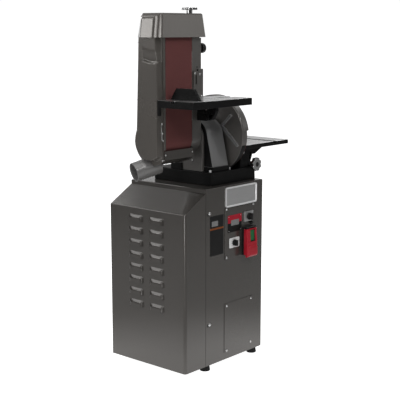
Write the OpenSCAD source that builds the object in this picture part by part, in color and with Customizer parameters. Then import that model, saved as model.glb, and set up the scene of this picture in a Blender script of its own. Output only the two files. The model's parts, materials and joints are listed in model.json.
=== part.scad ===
// Combination belt and disc sander on a closed cabinet stand.
// The belt face and the controls look to -Y, the disc side to +X, and +Z is up.
// The origin is on the floor, at the centre of the outline.

/* [Stand] */
// Width of the cabinet with its motor cover
cab_w = 495; // [470:5:540]
// Depth of the cabinet
cab_d = 416; // [400:4:460]
// Height of the cabinet without its feet
cab_h = 735; // [700:5:780]
// Width of the motor cover on the left side
cover_w = 125; // [110:1:140]
// Height that the motor cover's sloped shoulder rises over
shoulder_h = 69; // [40:1:90]
// Drop from the cabinet's top to the shoulder's upper edge
shoulder_drop = 18; // [10:1:30]
// Sheet steel thickness
sheet = 2; // [1.6:0.1:2.6]
// Height of the rubber feet
foot_h = 28; // [20:1:40]
// Radius of a foot on the floor
foot_r = 18; // [14:1:24]
// Louvres in one column of the motor cover
louvre_rows = 8; // [4:1:8]
// Distance between louvres
louvre_pitch = 51; // [44:1:56]
// Length of a louvre
louvre_l = 77; // [50:1:90]

/* [Base] */
// Width of the base casting
base_w = 288; // [280:2:310]
// Depth of the base casting
base_d = 318; // [300:2:340]
// Height of the base under the spindle
base_h = 53; // [48:1:60]
// Height of the pocket's floor under the disc
base_low_h = 35; // [28:1:40]
// Distance of the base behind the cabinet's front
base_setback = 35; // [20:1:50]
// Wall of the base casting
base_wall = 9; // [7:0.5:12]

/* [Spindle] */
// Height of the spindle above the base
spindle_up = 138; // [132:1:148]
// Distance of the spindle behind the base's front edge
spindle_back = 120; // [114:1:130]
// Radius of the spindle
spindle_r = 12.5; // [10:0.5:14]
// Outer radius of the spindle bearings
bearing_r = 26; // [24:0.5:30]
// Width of a spindle bearing
bearing_w = 15; // [12:0.5:18]
// Radius of the spindle pulley
pulley_r = 62; // [50:1:64]
// Radius of the motor pulley
motor_pulley_r = 45; // [36:1:50]
// Radius of the motor body
motor_r = 85; // [75:1:90]
// Distance of the motor from the cover's left side
motor_in = 36.5; // [20:0.5:60]
// Width of the pulley guard
guard_w = 102; // [98:1:112]
// Radius of the pulley guard's round top
guard_r = 75; // [72:1:80]

/* [Belt arm] */
// Width of the sanding belt
belt_w = 152.4; // [140:0.2:160]
// Length of the sanding belt
belt_l = 1219; // [1180:1:1260]
// Thickness of the sanding belt
belt_t = 1.5; // [1:0.1:2]
// Radius of the drive and idler drums
drum_r = 58; // [54:0.5:60]
// Width of the arm casting
arm_w = 55; // [52:1:60]
// Wall of the arm casting
arm_wall = 8; // [6:0.5:9]
// Radius of the hub that the arm pivots on
hub_r = 40; // [34:0.5:42]
// Radius of the dust shroud around the drive drum
shroud_r = 94; // [90:1:98]
// Depth of the side cover's raised face
cover_raise = 24; // [18:1:28]
// Outer radius of the dust port
port_r = 38; // [32:0.5:38]
// Length of the dust port's straight spigot
port_l = 30; // [24:1:34]
// Travel of the idler when the belt is slackened
slack = 6; // [4:0.5:8]

/* [Belt table] */
// Length of the belt table along the belt's width
bt_w = 354; // [340:2:370]
// Depth of the belt table
bt_d = 184; // [170:2:200]
// Height of the belt table's edge
bt_h = 28; // [24:1:30]
// Height of the belt table above the spindle
bt_up = 167; // [160:1:175]
// Width of the mitre slots
slot_w = 19; // [16:0.5:20]
// Depth of the mitre slots
slot_d = 9.5; // [8:0.5:10]
// Distance of the belt table's slot from the belt
bt_slot = 84; // [78:1:96]

/* [Disc side] */
// Diameter of the sanding disc
disc_d = 304.8; // [280:0.2:306]
// Thickness of the disc plate
disc_t = 16; // [12:0.5:18]
// Radius of the disc guard's rim
disc_guard_r = 166; // [162:1:170]
// Length of the disc table away from the disc
dt_w = 310; // [290:2:330]
// Depth of the disc table along the disc
dt_d = 270; // [262:2:290]
// Height of the disc table's edge
dt_h = 18; // [16:0.5:20]
// Drop of the disc table's top below the spindle
dt_drop = 41; // [34:1:44]
// Distance of the disc table's slot from the disc
dt_slot = 214; // [180:1:230]
// Radius of the table lock knob
lock_r = 29; // [24:1:32]

/* [Controls] */
// Width of the control panel
panel_w = 195; // [190:1:205]
// Height of the control panel
panel_h = 214; // [208:1:225]
// Width of the access panel
access_w = 187; // [160:1:195]
// Height of the access panel
access_h = 211; // [180:1:225]
// Width of the switch box
switch_w = 66; // [60:1:70]
// Height of the switch box
switch_h = 112; // [100:1:116]
// Travel of the start button
button_travel = 3; // [2:0.5:4]

/* [Hidden] */
$fn = 64;

// radial clearance of a shaft that turns in a bore
run_fit = 0.05;
// gap between faces that pass each other
gap = 0.3;

// the stand, measured from the cabinet's centre on the floor
cab_z0 = foot_h;
cab_z1 = foot_h + cab_h;
front_y = -cab_d / 2;
back_y = cab_d / 2;
box_x0 = -cab_w / 2 + cover_w;
box_x1 = cab_w / 2;
foot_in = 30;
panel_x0 = box_x0 + 117;
panel_z1 = cab_z1 - 94;
panel_y = front_y - sheet;
access_z0 = cab_z0 + 30;

// the base casting on the cabinet's top
base_x1 = box_x1 - 6.5;
base_x0 = base_x1 - base_w;
base_y0 = front_y + base_setback;
base_y1 = base_y0 + base_d;
base_z1 = cab_z1 + base_h;
base_low_z = cab_z1 + base_low_h;

// the spindle, which runs along X
sp_y = base_y0 + spindle_back;
sp_z = base_z1 + spindle_up;
piv_x0 = base_x0 + 9;
piv_t = 14;
guard_x0 = piv_x0 + piv_t + 2;
guard_x1 = guard_x0 + guard_w;
guard_foot = guard_r + 29;
foot_t = 19;
guard_z0 = base_z1 + foot_t;
step_x = guard_x1 + 15;
pulley_x = guard_x0 + guard_w / 2;
pulley_w = 24;
vbelt_t = 8;
ped_w = 22;
ped_r = 45;
motor_z = cab_z0 + cab_h * 0.506;
motor_x1 = pulley_x - 40;
motor_x0 = -cab_w / 2 + motor_in;
motor_l = motor_x1 - motor_x0;
shelf_z = motor_z - motor_r - 18;

// the belt arm
arm_x1 = piv_x0 - 1;
arm_x0 = arm_x1 - arm_w;
belt_x1 = arm_x0 - 3.6;
belt_x0 = belt_x1 - belt_w;
belt_in = drum_r + gap;
belt_out = belt_in + belt_t;
belt_y = sp_y - belt_out;
idler_z = sp_z + (belt_l - PI * (belt_in + belt_out)) / 2;
drum_x0 = belt_x0 + 3;
drum_x1 = belt_x1 - 3.4;
arm_y0 = belt_y + 2;
arm_z1 = idler_z + 56;
boss_r = hub_r + 18;
spine_x1 = arm_x1 - 9;
yoke_x0 = arm_x0 + arm_wall + gap;
yoke_x1 = spine_x1 - arm_wall - gap;
yoke_x = (yoke_x0 + yoke_x1) / 2;
axle_r = 10;
screw_y = sp_y - 24;
track_y = sp_y - 37;
track_z = idler_z - 64;
cover_x = belt_x0 - 13;
hood_z0 = idler_z - 20;
hood_z1 = idler_z + 72;

// the dust port leaves the shroud to the left, turned back and down
port_turn = 23;
port_dip = 14.5;
port_mouth = [cover_x - 47, sp_y + 59, sp_z - 122];
port_neck = 80;

// the belt table and its tilting bracket
bt_x0 = belt_x0 - 50;
bt_y1 = belt_y - 1.5;
bt_y0 = bt_y1 - bt_d;
bt_z1 = sp_z + bt_up;
bt_plate = slot_d + 4.5;
bt_slot_y = belt_y - bt_slot;
mitre_x = bt_x0 + 72;
ear_x0 = arm_x1 - 25;
ear_x1 = arm_x1 + 8;
ear_t = 7;
bt_pin_y = belt_y - 43;
bt_pin_z = bt_z1 - bt_h - 17;
bt_arc = 34;
stud_r = 5;

// the disc and its table
dg_x0 = guard_x1 + 18;
dg_x1 = dg_x0 + 40;
disc_x1 = dg_x1 + 3;
disc_x0 = disc_x1 - disc_t;
paper_t = 1.2;
dt_x0 = disc_x1 + paper_t + 2.8;
dt_z1 = sp_z - dt_drop;
dt_y0 = sp_y - dt_d / 2;
dt_plate = slot_d + 3.5;
dt_slot_x = disc_x1 + paper_t + dt_slot;
dt_pin_x = dt_x0 + 27;
dt_pin_z = dt_z1 - dt_h - 15;
dt_arc = 64;
dt_arc_a = 53;
dt_stud_x = dt_pin_x + dt_arc * cos(dt_arc_a);
dt_stud_z = dt_pin_z - dt_arc * sin(dt_arc_a);
dt_ear = 99.5;
dt_ear_t = 10;
lug_t = 14;
lug_gap = 0.5;

// controls on the panel's face
sel_x = panel_x0 + 150;
sel_z = panel_z1 - 50;
sw_x = panel_x0 + 146;
sw_z = panel_z1 - 156;
speed_x = panel_x0 + 60;
speed_z = panel_z1 - 149;
gland_l = 20;

// the outline's centre, moved onto the origin
port_reach = port_mouth[0] - port_r * sin(port_turn) * 1.05;
org_x = -(min(bt_x0, port_reach) + dt_x0 + dt_w) / 2;
org_y = -(bt_y0 + back_y + gland_l) / 2;

grey = [0.33, 0.325, 0.31];
black = [0.08, 0.08, 0.085];
steel = [0.72, 0.72, 0.72];
dark = [0.16, 0.16, 0.165];

// moves a piece from the cabinet's centre to the outline's centre
module place() {
    translate([org_x, org_y, 0]) children();
}

// a box from its two corners
module block(x0, x1, y0, y1, z0, z1) {
    translate([x0, y0, z0]) cube([x1 - x0, y1 - y0, z1 - z0]);
}

// a cylinder along X, Y or Z from its two ends
module rod_x(x0, x1, y, z, r) {
    translate([x0, y, z]) rotate([0, 90, 0]) cylinder(r = r, h = x1 - x0);
}
module rod_y(y0, y1, x, z, r) {
    translate([x, y1, z]) rotate([90, 0, 0]) cylinder(r = r, h = y1 - y0);
}
module rod_z(z0, z1, x, y, r) {
    translate([x, y, z0]) cylinder(r = r, h = z1 - z0);
}

// a flat outline in Y and Z, given thickness along X
module slab_x(x0, x1) {
    translate([x0, 0, 0]) rotate([90, 0, 90]) linear_extrude(x1 - x0) children();
}

// a flat outline in X and Z, given thickness along Y
module slab_y(y0, y1) {
    translate([0, y1, 0]) rotate([90, 0, 0]) linear_extrude(y1 - y0) children();
}

// two discs above one another with the straight sides that touch both
module teardrop(z_low, r_low, z_high, r_high) {
    a = asin((r_low - r_high) / (z_high - z_low));
    c = cos(a);
    s = sin(a);
    translate([0, z_low]) circle(r_low);
    translate([0, z_high]) circle(r_high);
    polygon([
        [r_low * c, z_low + r_low * s], [r_high * c, z_high + r_high * s],
        [-r_high * c, z_high + r_high * s], [-r_low * c, z_low + r_low * s]
    ]);
}

// part of a ring, from one angle to another
module arc_band(r_in, r_out, a0, a1) {
    steps = 6;
    far = r_out * 1.2;
    intersection() {
        difference() {
            circle(r_out);
            circle(r_in);
        }
        polygon(concat([[0, 0]],
            [for (i = [0 : steps]) let (a = a0 + (a1 - a0) * i / steps) far * [cos(a), sin(a)]]));
    }
}

// a curved slot with round ends
module arc_slot(r, half, a0, a1) {
    arc_band(r - half, r + half, a0, a1);
    for (a = [a0, a1]) translate(r * [cos(a), sin(a)]) circle(half + 0.05);
}

// a hexagonal head
module hex_z(z0, z1, x, y, r) {
    translate([x, y, z0]) cylinder(r = r, h = z1 - z0, $fn = 6);
}

// Stand

// The main box of folded sheet, open to the motor cover and behind the panels.
module cabinet() {
    color(grey) place() difference() {
        block(box_x0, box_x1, front_y, back_y, cab_z0, cab_z1);
        block(box_x0 + sheet, box_x1 - sheet, front_y + sheet, back_y - sheet,
            cab_z0 + sheet, cab_z1 - sheet);
        block(box_x0 - 1, box_x0 + sheet + 1, front_y + 24, back_y - 24, cab_z0 + 24, cab_z1 - 110);
        block(panel_x0 + 14, panel_x0 + panel_w - 14, front_y - 1, front_y + sheet + 1,
            panel_z1 - panel_h + 14, panel_z1 - 14);
        block(panel_x0 + 12, panel_x0 + access_w - 12, front_y - 1, front_y + sheet + 1,
            access_z0 + 12, access_z0 + access_h - 12);
        block(pulley_x - 18, pulley_x + 18, sp_y - 80, sp_y + 80, cab_z1 - sheet - 1, cab_z1 + 1);
    }
}

// The outline of the motor cover seen from the front, drawn in by t.
module cover_outline(t) {
    x0 = -cab_w / 2 + t;
    low = cab_z1 - shoulder_drop - shoulder_h - 0.7 * t;
    high = cab_z1 - shoulder_drop - 1.2 * t;
    polygon([
        [x0, cab_z0 + t], [box_x0 - gap + t * 50, cab_z0 + t],
        [box_x0 - gap + t * 50, high + t * 50 * shoulder_h / cover_w], [x0, low]
    ]);
}

// One pressed louvre: a hood that opens downwards.
module louvre(y, z) {
    x = -cab_w / 2;
    slab_y(y, y + louvre_l) polygon([[x + 0.5, z], [x - 9, z - 22], [x - 9, z - 27], [x + 0.5, z - 27]]);
}
module louvre_hollow(y, z) {
    x = -cab_w / 2;
    slab_y(y + 2, y + louvre_l - 2)
        polygon([[x + 3, z - 4], [x - 7, z - 24], [x - 7, z - 30], [x + 3, z - 30]]);
}

// The louvred sheet cover over the motor, with its sloped shoulder.
module motor_cover() {
    louvre_z = cab_z1 - shoulder_drop - shoulder_h - 28;
    cols = [front_y + 115, front_y + 229];
    color(grey) place() difference() {
        union() {
            slab_y(front_y, back_y) cover_outline(0);
            for (y = cols, i = [0 : louvre_rows - 1]) louvre(y, louvre_z - i * louvre_pitch);
        }
        slab_y(front_y + sheet, back_y - sheet) cover_outline(sheet);
        for (y = cols, i = [0 : louvre_rows - 1]) louvre_hollow(y, louvre_z - i * louvre_pitch);
    }
}

// The flat steel plate that carries the switches.
module control_panel() {
    color(dark) place() difference() {
        block(panel_x0, panel_x0 + panel_w, panel_y, front_y, panel_z1 - panel_h, panel_z1);
        rod_y(panel_y - 1, front_y + 1, sel_x, sel_z, 11);
        rod_y(panel_y - 1, front_y + 1, speed_x, speed_z, 5);
    }
}

// The flat plate over the lower opening.
module access_panel() {
    color(grey) place()
        block(panel_x0, panel_x0 + access_w, panel_y, front_y, access_z0, access_z0 + access_h);
}

// A tapered rubber foot with its stud.
module foot(x, y) {
    color(black) place() {
        translate([x, y, 0]) cylinder(r1 = foot_r, r2 = foot_r * 0.8, h = foot_h);
    }
}
module foot_front_left() foot(box_x0 + foot_in, front_y + foot_in);
module foot_front_right() foot(box_x1 - foot_in, front_y + foot_in);
module foot_back_left() foot(box_x0 + foot_in, back_y - foot_in);
module foot_back_right() foot(box_x1 - foot_in, back_y - foot_in);

// Base

// The hollow inside the base: high under the spindle, low under the disc.
module base_hollow() {
    t = base_wall;
    polygon([
        [base_x0 + t, cab_z1 - t], [base_x1 - t, cab_z1 - t], [base_x1 - t - 2, base_low_z - t],
        [step_x - t, base_low_z - t], [step_x - t, base_z1 - t], [base_x0 + t + 4, base_z1 - t]
    ]);
}

// A hollow iron casting with drafted ends and an open pocket for the lower part of the disc.
module base_casting() {
    y0 = base_y0 + base_wall;
    y1 = base_y1 - base_wall;
    color(black) place() difference() {
        slab_y(base_y0, base_y1) polygon([
            [base_x0, cab_z1], [base_x1, cab_z1], [base_x1 - 4, base_z1], [base_x0 + 4, base_z1]
        ]);
        slab_y(y0, y1) base_hollow();
        block(step_x, base_x1 + 1, y0, y1, base_low_z, base_z1 + 1);
        block(pulley_x - 18, pulley_x + 18, sp_y - 80, sp_y + 80, cab_z1, base_z1 + 1);
    }
}

// Bolts with washers that hold the headstock and the base down.
module base_bolts() {
    color(steel) place() {
        for (x = [base_x0 + 14.5, step_x - 7.3], y = [base_y0 + 19, base_y1 - 30]) {
            rod_z(base_z1, base_z1 + 2, x, y, 7);
            hex_z(base_z1 + 2, base_z1 + 10, x, y, 6.5);
        }
    }
}

// Spindle and drive

// One upright of the headstock, bored for a bearing.
module pedestal(x) {
    difference() {
        union() {
            rod_x(x, x + ped_w, sp_y, sp_z, ped_r);
            block(x, x + ped_w, sp_y - ped_r, sp_y + ped_r, guard_z0 - 2, sp_z);
        }
        rod_x(x - 1, x + ped_w + 1, sp_y, sp_z, bearing_r);
    }
}

// Two bearing uprights on one plate, with a window for the drive belt.
module headstock() {
    x0 = guard_x0 + 5;
    x1 = guard_x1 - 5;
    color(black) place() {
        difference() {
            block(guard_x0, guard_x1, sp_y - guard_foot - 4, sp_y + guard_foot + 4, base_z1, guard_z0);
            block(pulley_x - 18, pulley_x + 18, sp_y - 80, sp_y + 80, base_z1 - 1, guard_z0 + 1);
        }
        pedestal(x0);
        pedestal(x1 - ped_w);
    }
}

// A sealed ball bearing, drawn as one ring.
module bearing(x) {
    color(steel) place() difference() {
        rod_x(x, x + bearing_w, sp_y, sp_z, bearing_r);
        rod_x(x - 1, x + bearing_w + 1, sp_y, sp_z, spindle_r + run_fit);
    }
}
module bearing_left() bearing(guard_x0 + 5 + (ped_w - bearing_w) / 2);
module bearing_right() bearing(guard_x1 - 5 - (ped_w + bearing_w) / 2);

// The upright that carries the arm on a hollow hub.
module pivot_bracket() {
    color(grey) place() difference() {
        union() {
            rod_x(piv_x0, piv_x0 + piv_t, sp_y, sp_z, boss_r + 4);
            block(piv_x0, piv_x0 + piv_t, sp_y - boss_r - 4, sp_y + boss_r + 4, base_z1, sp_z);
            rod_x(piv_x0 - arm_w + 8, piv_x0 + 1, sp_y, sp_z, hub_r);
        }
        rod_x(piv_x0 - arm_w, piv_x0 + piv_t + 1, sp_y, sp_z, hub_r - 12);
    }
}

// The steel shaft that carries drum, pulley and disc.
module spindle() {
    color(steel) place() rod_x(drum_x0 - 4, disc_x0 + 4, sp_y, sp_z, spindle_r);
}

// A pulley with a V groove around its rim.
module vee_pulley(y, z, r, bore) {
    half = pulley_w / 2;
    color(dark) place() translate([pulley_x, y, z]) rotate([0, 90, 0]) rotate_extrude()
        polygon([
            [bore, -half], [r, -half], [r, -6], [r - vbelt_t - 2, -3.4], [r - vbelt_t - 2, 3.4],
            [r, 6], [r, half], [bore, half]
        ]);
}
module spindle_pulley() vee_pulley(sp_y, sp_z, pulley_r, spindle_r + run_fit);
module motor_pulley() vee_pulley(sp_y, motor_z, motor_pulley_r, spindle_r - 0.5 + run_fit);

// The V belt from the motor up to the spindle.
module drive_belt() {
    lift = 1;
    color(black) place() translate([0, sp_y, 0]) slab_x(pulley_x - 4, pulley_x + 4) difference() {
        teardrop(motor_z, motor_pulley_r + lift, sp_z, pulley_r + lift);
        teardrop(motor_z, motor_pulley_r - 4.5, sp_z, pulley_r - 4.5);
    }
}

// The motor's shaft end.
module motor_shaft() {
    color(steel) place() rod_x(motor_x1 - 60, pulley_x + 16, sp_y, motor_z, spindle_r - 0.5);
}

// The closed motor with its foot and terminal box.
module motor() {
    x0 = motor_x0;
    color(dark) place() difference() {
        union() {
            rod_x(x0, motor_x1, sp_y, motor_z, motor_r);
            rod_x(motor_x1 - 1, motor_x1 + 8, sp_y, motor_z, motor_r * 0.45);
            block(max(x0 + 0.4 * motor_l, box_x0 + 12), motor_x1 - 20, sp_y - motor_r * 0.8, sp_y + motor_r * 0.8,
                shelf_z, motor_z - motor_r * 0.6);
            block(x0 + 0.3 * motor_l, x0 + 0.7 * motor_l, sp_y - motor_r * 0.4, sp_y + motor_r * 0.4,
                motor_z, motor_z + motor_r * 1.33);
        }
        rod_x(motor_x1 - 62, motor_x1 + 9, sp_y, motor_z, spindle_r - 0.5 + run_fit);
    }
}

// The folded shelf across the cabinet that the motor stands on.
module motor_shelf() {
    x0 = box_x0 + 12;
    x1 = motor_x1 - 8;
    color(grey) place() {
        block(x0, x1, front_y + sheet, back_y - sheet, shelf_z - 5, shelf_z);
        for (y = [front_y + sheet, back_y - sheet - 5]) block(x0, x1, y, y + 5, shelf_z - 45, shelf_z - 5);
    }
}

// Half outline of the pulley guard, drawn in by t.
module guard_outline(t) {
    r = guard_r - t;
    foot = guard_foot - t;
    translate([0, sp_z]) circle(r);
    polygon([[-foot, guard_z0 - t], [foot, guard_z0 - t], [r * 0.985, sp_z + r * 0.17],
        [-r * 0.985, sp_z + r * 0.17]]);
}

// The sheet guard over the pulleys: round top and flanks that widen downwards.
module pulley_guard() {
    color(grey) place() translate([0, sp_y, 0]) difference() {
        slab_x(guard_x0, guard_x1) guard_outline(0);
        slab_x(guard_x0 + sheet, guard_x1 - sheet) guard_outline(sheet);
        rod_x(guard_x0 - 1, guard_x1 + 1, 0, sp_z, bearing_r + 4);
    }
}

// Disc side

// The cast guard behind and around the disc: ribbed at the back, narrower below the table.
module disc_guard() {
    rib = 9;
    r = disc_guard_r;
    color(grey) place() difference() {
        union() {
            rod_x(dg_x0, dg_x1 - 8, sp_y, sp_z, r - 3);
            intersection() {
                rod_x(dg_x0 + 6, dg_x1, sp_y, sp_z, r);
                block(dg_x0, dg_x1, sp_y - 200, sp_y + 200, sp_z + 24, sp_z + 200);
            }
            for (p = [[44, 0.71], [-43, 0.4]])
                translate([0, sp_y - r * 0.343, sp_z + r * 0.253]) rotate([p[0], 0, 0])
                    block(dg_x0 - rib, dg_x0 + 1, -r * p[1], 5, -5, 5);
            rod_x(dg_x0 - 6, dg_x0 + 1, sp_y, sp_z, 44);
        }
        rod_x(dg_x0 + 4, dg_x1 + 1, sp_y, sp_z, r - 7);
        rod_x(dg_x0 - 7, dg_x1, sp_y, sp_z, spindle_r + 10);
        block(dg_x0 + 20, dg_x1 + 9, sp_y - 200, sp_y + 200, sp_z - 200, dt_z1 + 4);
        block(dg_x0 - 9, dg_x1 + 9, sp_y - 200, sp_y + 200, sp_z - 200, base_low_z);
    }
}

// The machined disc plate with its hub.
module sanding_disc() {
    color(steel) place() difference() {
        union() {
            rod_x(disc_x0, disc_x1, sp_y, sp_z, disc_d / 2);
            rod_x(disc_x0 - 14, disc_x0 + 1, sp_y, sp_z, 30);
        }
        rod_x(disc_x0 - 15, disc_x0 + 4, sp_y, sp_z, spindle_r + run_fit);
    }
}

// The abrasive sheet stuck on the disc.
module abrasive_disc() {
    color([0.36, 0.18, 0.17]) place()
        rod_x(disc_x1, disc_x1 + paper_t, sp_y, sp_z, disc_d / 2 - 0.5);
}

// Outline of one ear of the disc table's bracket.
module disc_ear() {
    x0 = dt_x0 + 3;
    x1 = base_x1 - 6;
    for (p = [[dt_pin_x, dt_pin_z], [dt_stud_x, dt_stud_z]]) translate(p) circle(14);
    polygon([
        [x0, base_low_z], [x1, base_low_z], [dt_stud_x + 13, dt_stud_z + 5],
        [dt_pin_x + 13, dt_pin_z + 4], [dt_pin_x - 12, dt_pin_z + 6]
    ]);
}

// Two ears on the base, joined by a plate, that the disc table tilts between.
module disc_bracket() {
    color(black) place() difference() {
        union() {
            for (y = [sp_y - dt_ear - dt_ear_t, sp_y + dt_ear]) slab_y(y, y + dt_ear_t) disc_ear();
            block(dt_x0 + 3, base_x1 - 16, sp_y - dt_ear, sp_y + dt_ear, base_low_z, base_low_z + 4);
            block(dt_x0 + 55, dt_x0 + 61, sp_y - dt_ear + lug_t + 9, sp_y + dt_ear - lug_t - 9,
                base_low_z, base_low_z + 47);
        }
        rod_y(sp_y - 200, sp_y + 200, dt_pin_x, dt_pin_z, 7);
        rod_y(sp_y - 200, sp_y + 200, dt_stud_x, dt_stud_z, stud_r + gap);
    }
}

// The two pins the disc table swings on.
module disc_table_pins() {
    reach = lug_gap + lug_t;
    color(steel) place() {
        rod_y(sp_y - dt_ear - dt_ear_t, sp_y - dt_ear + reach, dt_pin_x, dt_pin_z, 7);
        rod_y(sp_y + dt_ear - reach, sp_y + dt_ear + dt_ear_t, dt_pin_x, dt_pin_z, 7);
    }
}

// Outline of a lug under the disc table, with its curved lock slot.
module disc_lug() {
    top = dt_z1 - dt_plate + 1;
    translate([dt_pin_x, dt_pin_z]) difference() {
        union() {
            circle(14);
            polygon([
                [-12, 0], [-12, top - dt_pin_z], [dt_arc + 74, top - dt_pin_z], [dt_arc + 74, 6],
                [dt_arc + 29, -15], [4, -15]
            ]);
            arc_band(0, dt_arc + 11, -dt_arc_a - 12, 0);
        }
        circle(7 + run_fit);
        arc_slot(dt_arc, stud_r + 0.5, -dt_arc_a, -dt_arc_a + 45);
    }
}

// The cast table in front of the disc, with a mitre slot and two lugs.
module disc_table() {
    rim = 8;
    color(dark) place() difference() {
        union() {
            difference() {
                block(dt_x0, dt_x0 + dt_w, dt_y0, dt_y0 + dt_d, dt_z1 - dt_h, dt_z1);
                block(dt_x0 + rim, dt_x0 + dt_w - rim, dt_y0 + rim, dt_y0 + dt_d - rim,
                    dt_z1 - dt_h - 1, dt_z1 - dt_plate);
            }
            for (y = [sp_y - dt_ear + lug_gap, sp_y + dt_ear - lug_gap - lug_t])
                slab_y(y, y + lug_t) disc_lug();
        }
        block(dt_slot_x - slot_w / 2, dt_slot_x + slot_w / 2, dt_y0 - 1, dt_y0 + dt_d + 1,
            dt_z1 - slot_d, dt_z1 + 1);
    }
}

// The stud through ear and lug that the lock knob pulls on.
module disc_lock_stud() {
    y0 = sp_y - dt_ear - dt_ear_t - gap;
    color(steel) place() {
        rod_y(y0, sp_y - dt_ear + lug_gap + lug_t + 1, dt_stud_x, dt_stud_z, stud_r);
        rod_y(sp_y - dt_ear + lug_gap + lug_t + gap, sp_y - dt_ear + lug_gap + lug_t + 6,
            dt_stud_x, dt_stud_z, stud_r + 3);
    }
}

// The fluted knob that locks the disc table.
module disc_lock_knob() {
    y1 = sp_y - dt_ear - dt_ear_t - gap;
    color(steel) place() {
        rod_y(y1 - 28, y1, dt_stud_x, dt_stud_z, 11);
        difference() {
            rod_y(y1 - 44, y1 - 28, dt_stud_x, dt_stud_z, lock_r);
            for (a = [0 : 45 : 315]) rod_y(y1 - 45, y1 - 27, dt_stud_x + (lock_r + 2.5) * cos(a),
                dt_stud_z + (lock_r + 2.5) * sin(a), 7);
        }
    }
}

// Belt arm

// The cast arm: a channel open to the back, with a split boss on the hub.
module arm() {
    in_y = arm_y0 + arm_wall;
    back = sp_y + 45;
    color(grey) place() difference() {
        union() {
            block(arm_x0, spine_x1, arm_y0, back, sp_z, arm_z1);
            block(arm_x0, arm_x1, arm_y0, in_y, sp_z, hood_z0 - 3);
            rod_x(arm_x0, arm_x1, sp_y, sp_z, boss_r);
            block(arm_x0 + 4, arm_x1 - 4, sp_y + hub_r, sp_y + boss_r + 8, sp_z - 18, sp_z + 18);
        }
        block(arm_x0 + arm_wall, spine_x1 - arm_wall, in_y, back + 1, sp_z + boss_r + 10, arm_z1 - 10);
        rod_x(arm_x0 - 1, arm_x1 + 1, sp_y, sp_z, hub_r + run_fit);
        block(arm_x0 - 1, arm_x1 + 1, sp_y + hub_r - 5, sp_y + boss_r + 9, sp_z - 1.5, sp_z + 1.5);
        block(arm_x0 - 1, arm_x0 + arm_wall + 1, sp_y - axle_r - 2, sp_y + axle_r + 2,
            idler_z - axle_r - slack - 8, idler_z + axle_r + 4);
        rod_z(arm_z1 - 11, arm_z1 + 1, yoke_x, screw_y, 5 + run_fit);
        rod_x(spine_x1 - arm_wall - 1, arm_x1 + 1, track_y, track_z, 6 + run_fit);
    }
}

// The flat backing plate behind the belt, bolted to the arm.
module platen() {
    y0 = belt_y + belt_t + gap;
    color(steel) place() {
        block(belt_x0 + 4, arm_x0, y0, y0 + 8, sp_z + 75, idler_z - 75);
        for (z = [sp_z + 100, idler_z - 124]) block(arm_x0 - 60, arm_x0, y0 + 7, y0 + 40, z, z + 10);
    }
}

// The rubber-faced drum that drives the belt.
module drive_drum() {
    color(black) place() difference() {
        rod_x(drum_x0, drum_x1, sp_y, sp_z, drum_r);
        rod_x(drum_x0 - 1, drum_x1 + 1, sp_y, sp_z, spindle_r + run_fit);
    }
}

// The plain drum at the arm's top.
module idler_drum() {
    color(steel) place() difference() {
        rod_x(drum_x0, drum_x1, sp_y, idler_z, drum_r);
        rod_x(drum_x0 - 1, drum_x1 + 1, sp_y, idler_z, axle_r + run_fit);
    }
}

// The idler's axle on a block that rocks in the yoke, with a tail for tracking.
module idler_carrier() {
    y0 = sp_y - 15;
    y1 = sp_y + 29.5;
    color(steel) place() {
        rod_x(drum_x0 - 4, yoke_x, sp_y, idler_z, axle_r);
        block(yoke_x - 12, yoke_x + 12, y0, y1, idler_z - 14, idler_z + 14);
        rod_y(sp_y - 42, sp_y + 42, yoke_x, idler_z, 6);
        block(yoke_x - 5, yoke_x + 5, y0, sp_y + 10, idler_z - 76, idler_z - 13);
        block(yoke_x - 5, yoke_x + 5, track_y - 9, y0 + 1, idler_z - 76, idler_z - 52);
    }
}

// The sliding yoke: two cheeks and a bridge that the tension screw lifts.
module idler_yoke() {
    color(dark) place() difference() {
        union() {
            for (y = [sp_y - 42, sp_y + 30]) block(yoke_x0, yoke_x1, y, y + 12, idler_z - 14, idler_z + 20);
            block(yoke_x0, yoke_x1, sp_y - 42, sp_y + 42, idler_z + 18, idler_z + 30);
        }
        rod_y(sp_y - 43, sp_y + 43, yoke_x, idler_z, 6 + run_fit);
        rod_z(idler_z + 10, idler_z + 31, yoke_x, screw_y, 5 + gap);
    }
}

// The tension screw with its fluted hand wheel above the hood.
module tension_knob() {
    z0 = hood_z1 + 14;
    color(steel) place() {
        rod_z(idler_z + 16, z0 + 4, yoke_x, screw_y, 5);
        rod_z(arm_z1 + gap, z0 + 1, yoke_x, screw_y, 11);
        difference() {
            rod_z(z0, z0 + 9, yoke_x, screw_y, 29);
            for (a = [0 : 30 : 330]) rod_z(z0 - 1, z0 + 10, yoke_x + 31 * cos(a), screw_y + 31 * sin(a), 5);
        }
    }
}

// The tracking screw with its knob on the arm's right side.
module tracking_knob() {
    color(black) place() {
        rod_x(yoke_x + 5 + 1.8, arm_x1 + 18, track_y, track_z, 6);
        rod_x(spine_x1 + gap, arm_x1 + 18, track_y, track_z, 10);
        rod_x(arm_x1 + 17, arm_x1 + 34, track_y, track_z, 20);
    }
}

// A loop around both drums, r from their axes.
module belt_loop(r) {
    translate([sp_y, sp_z]) circle(r);
    translate([sp_y, idler_z]) circle(r);
    translate([sp_y - r, sp_z]) square([2 * r, idler_z - sp_z]);
}

// The abrasive belt.
module sanding_belt() {
    color([0.36, 0.18, 0.17]) place() slab_x(belt_x0, belt_x1) difference() {
        belt_loop(belt_out);
        belt_loop(belt_in);
    }
}

// Outline of the side cover: straight front, slanted back and a round foot.
module side_outline(front, back_low, back_high, r, top) {
    intersection() {
        union() {
            translate([sp_y, sp_z]) circle(r);
            polygon([[front, sp_z], [front, top], [back_high, top], [back_low, sp_z + 44],
                [back_low, sp_z]]);
        }
        translate([front, 0]) square([400, top]);
    }
}

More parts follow.
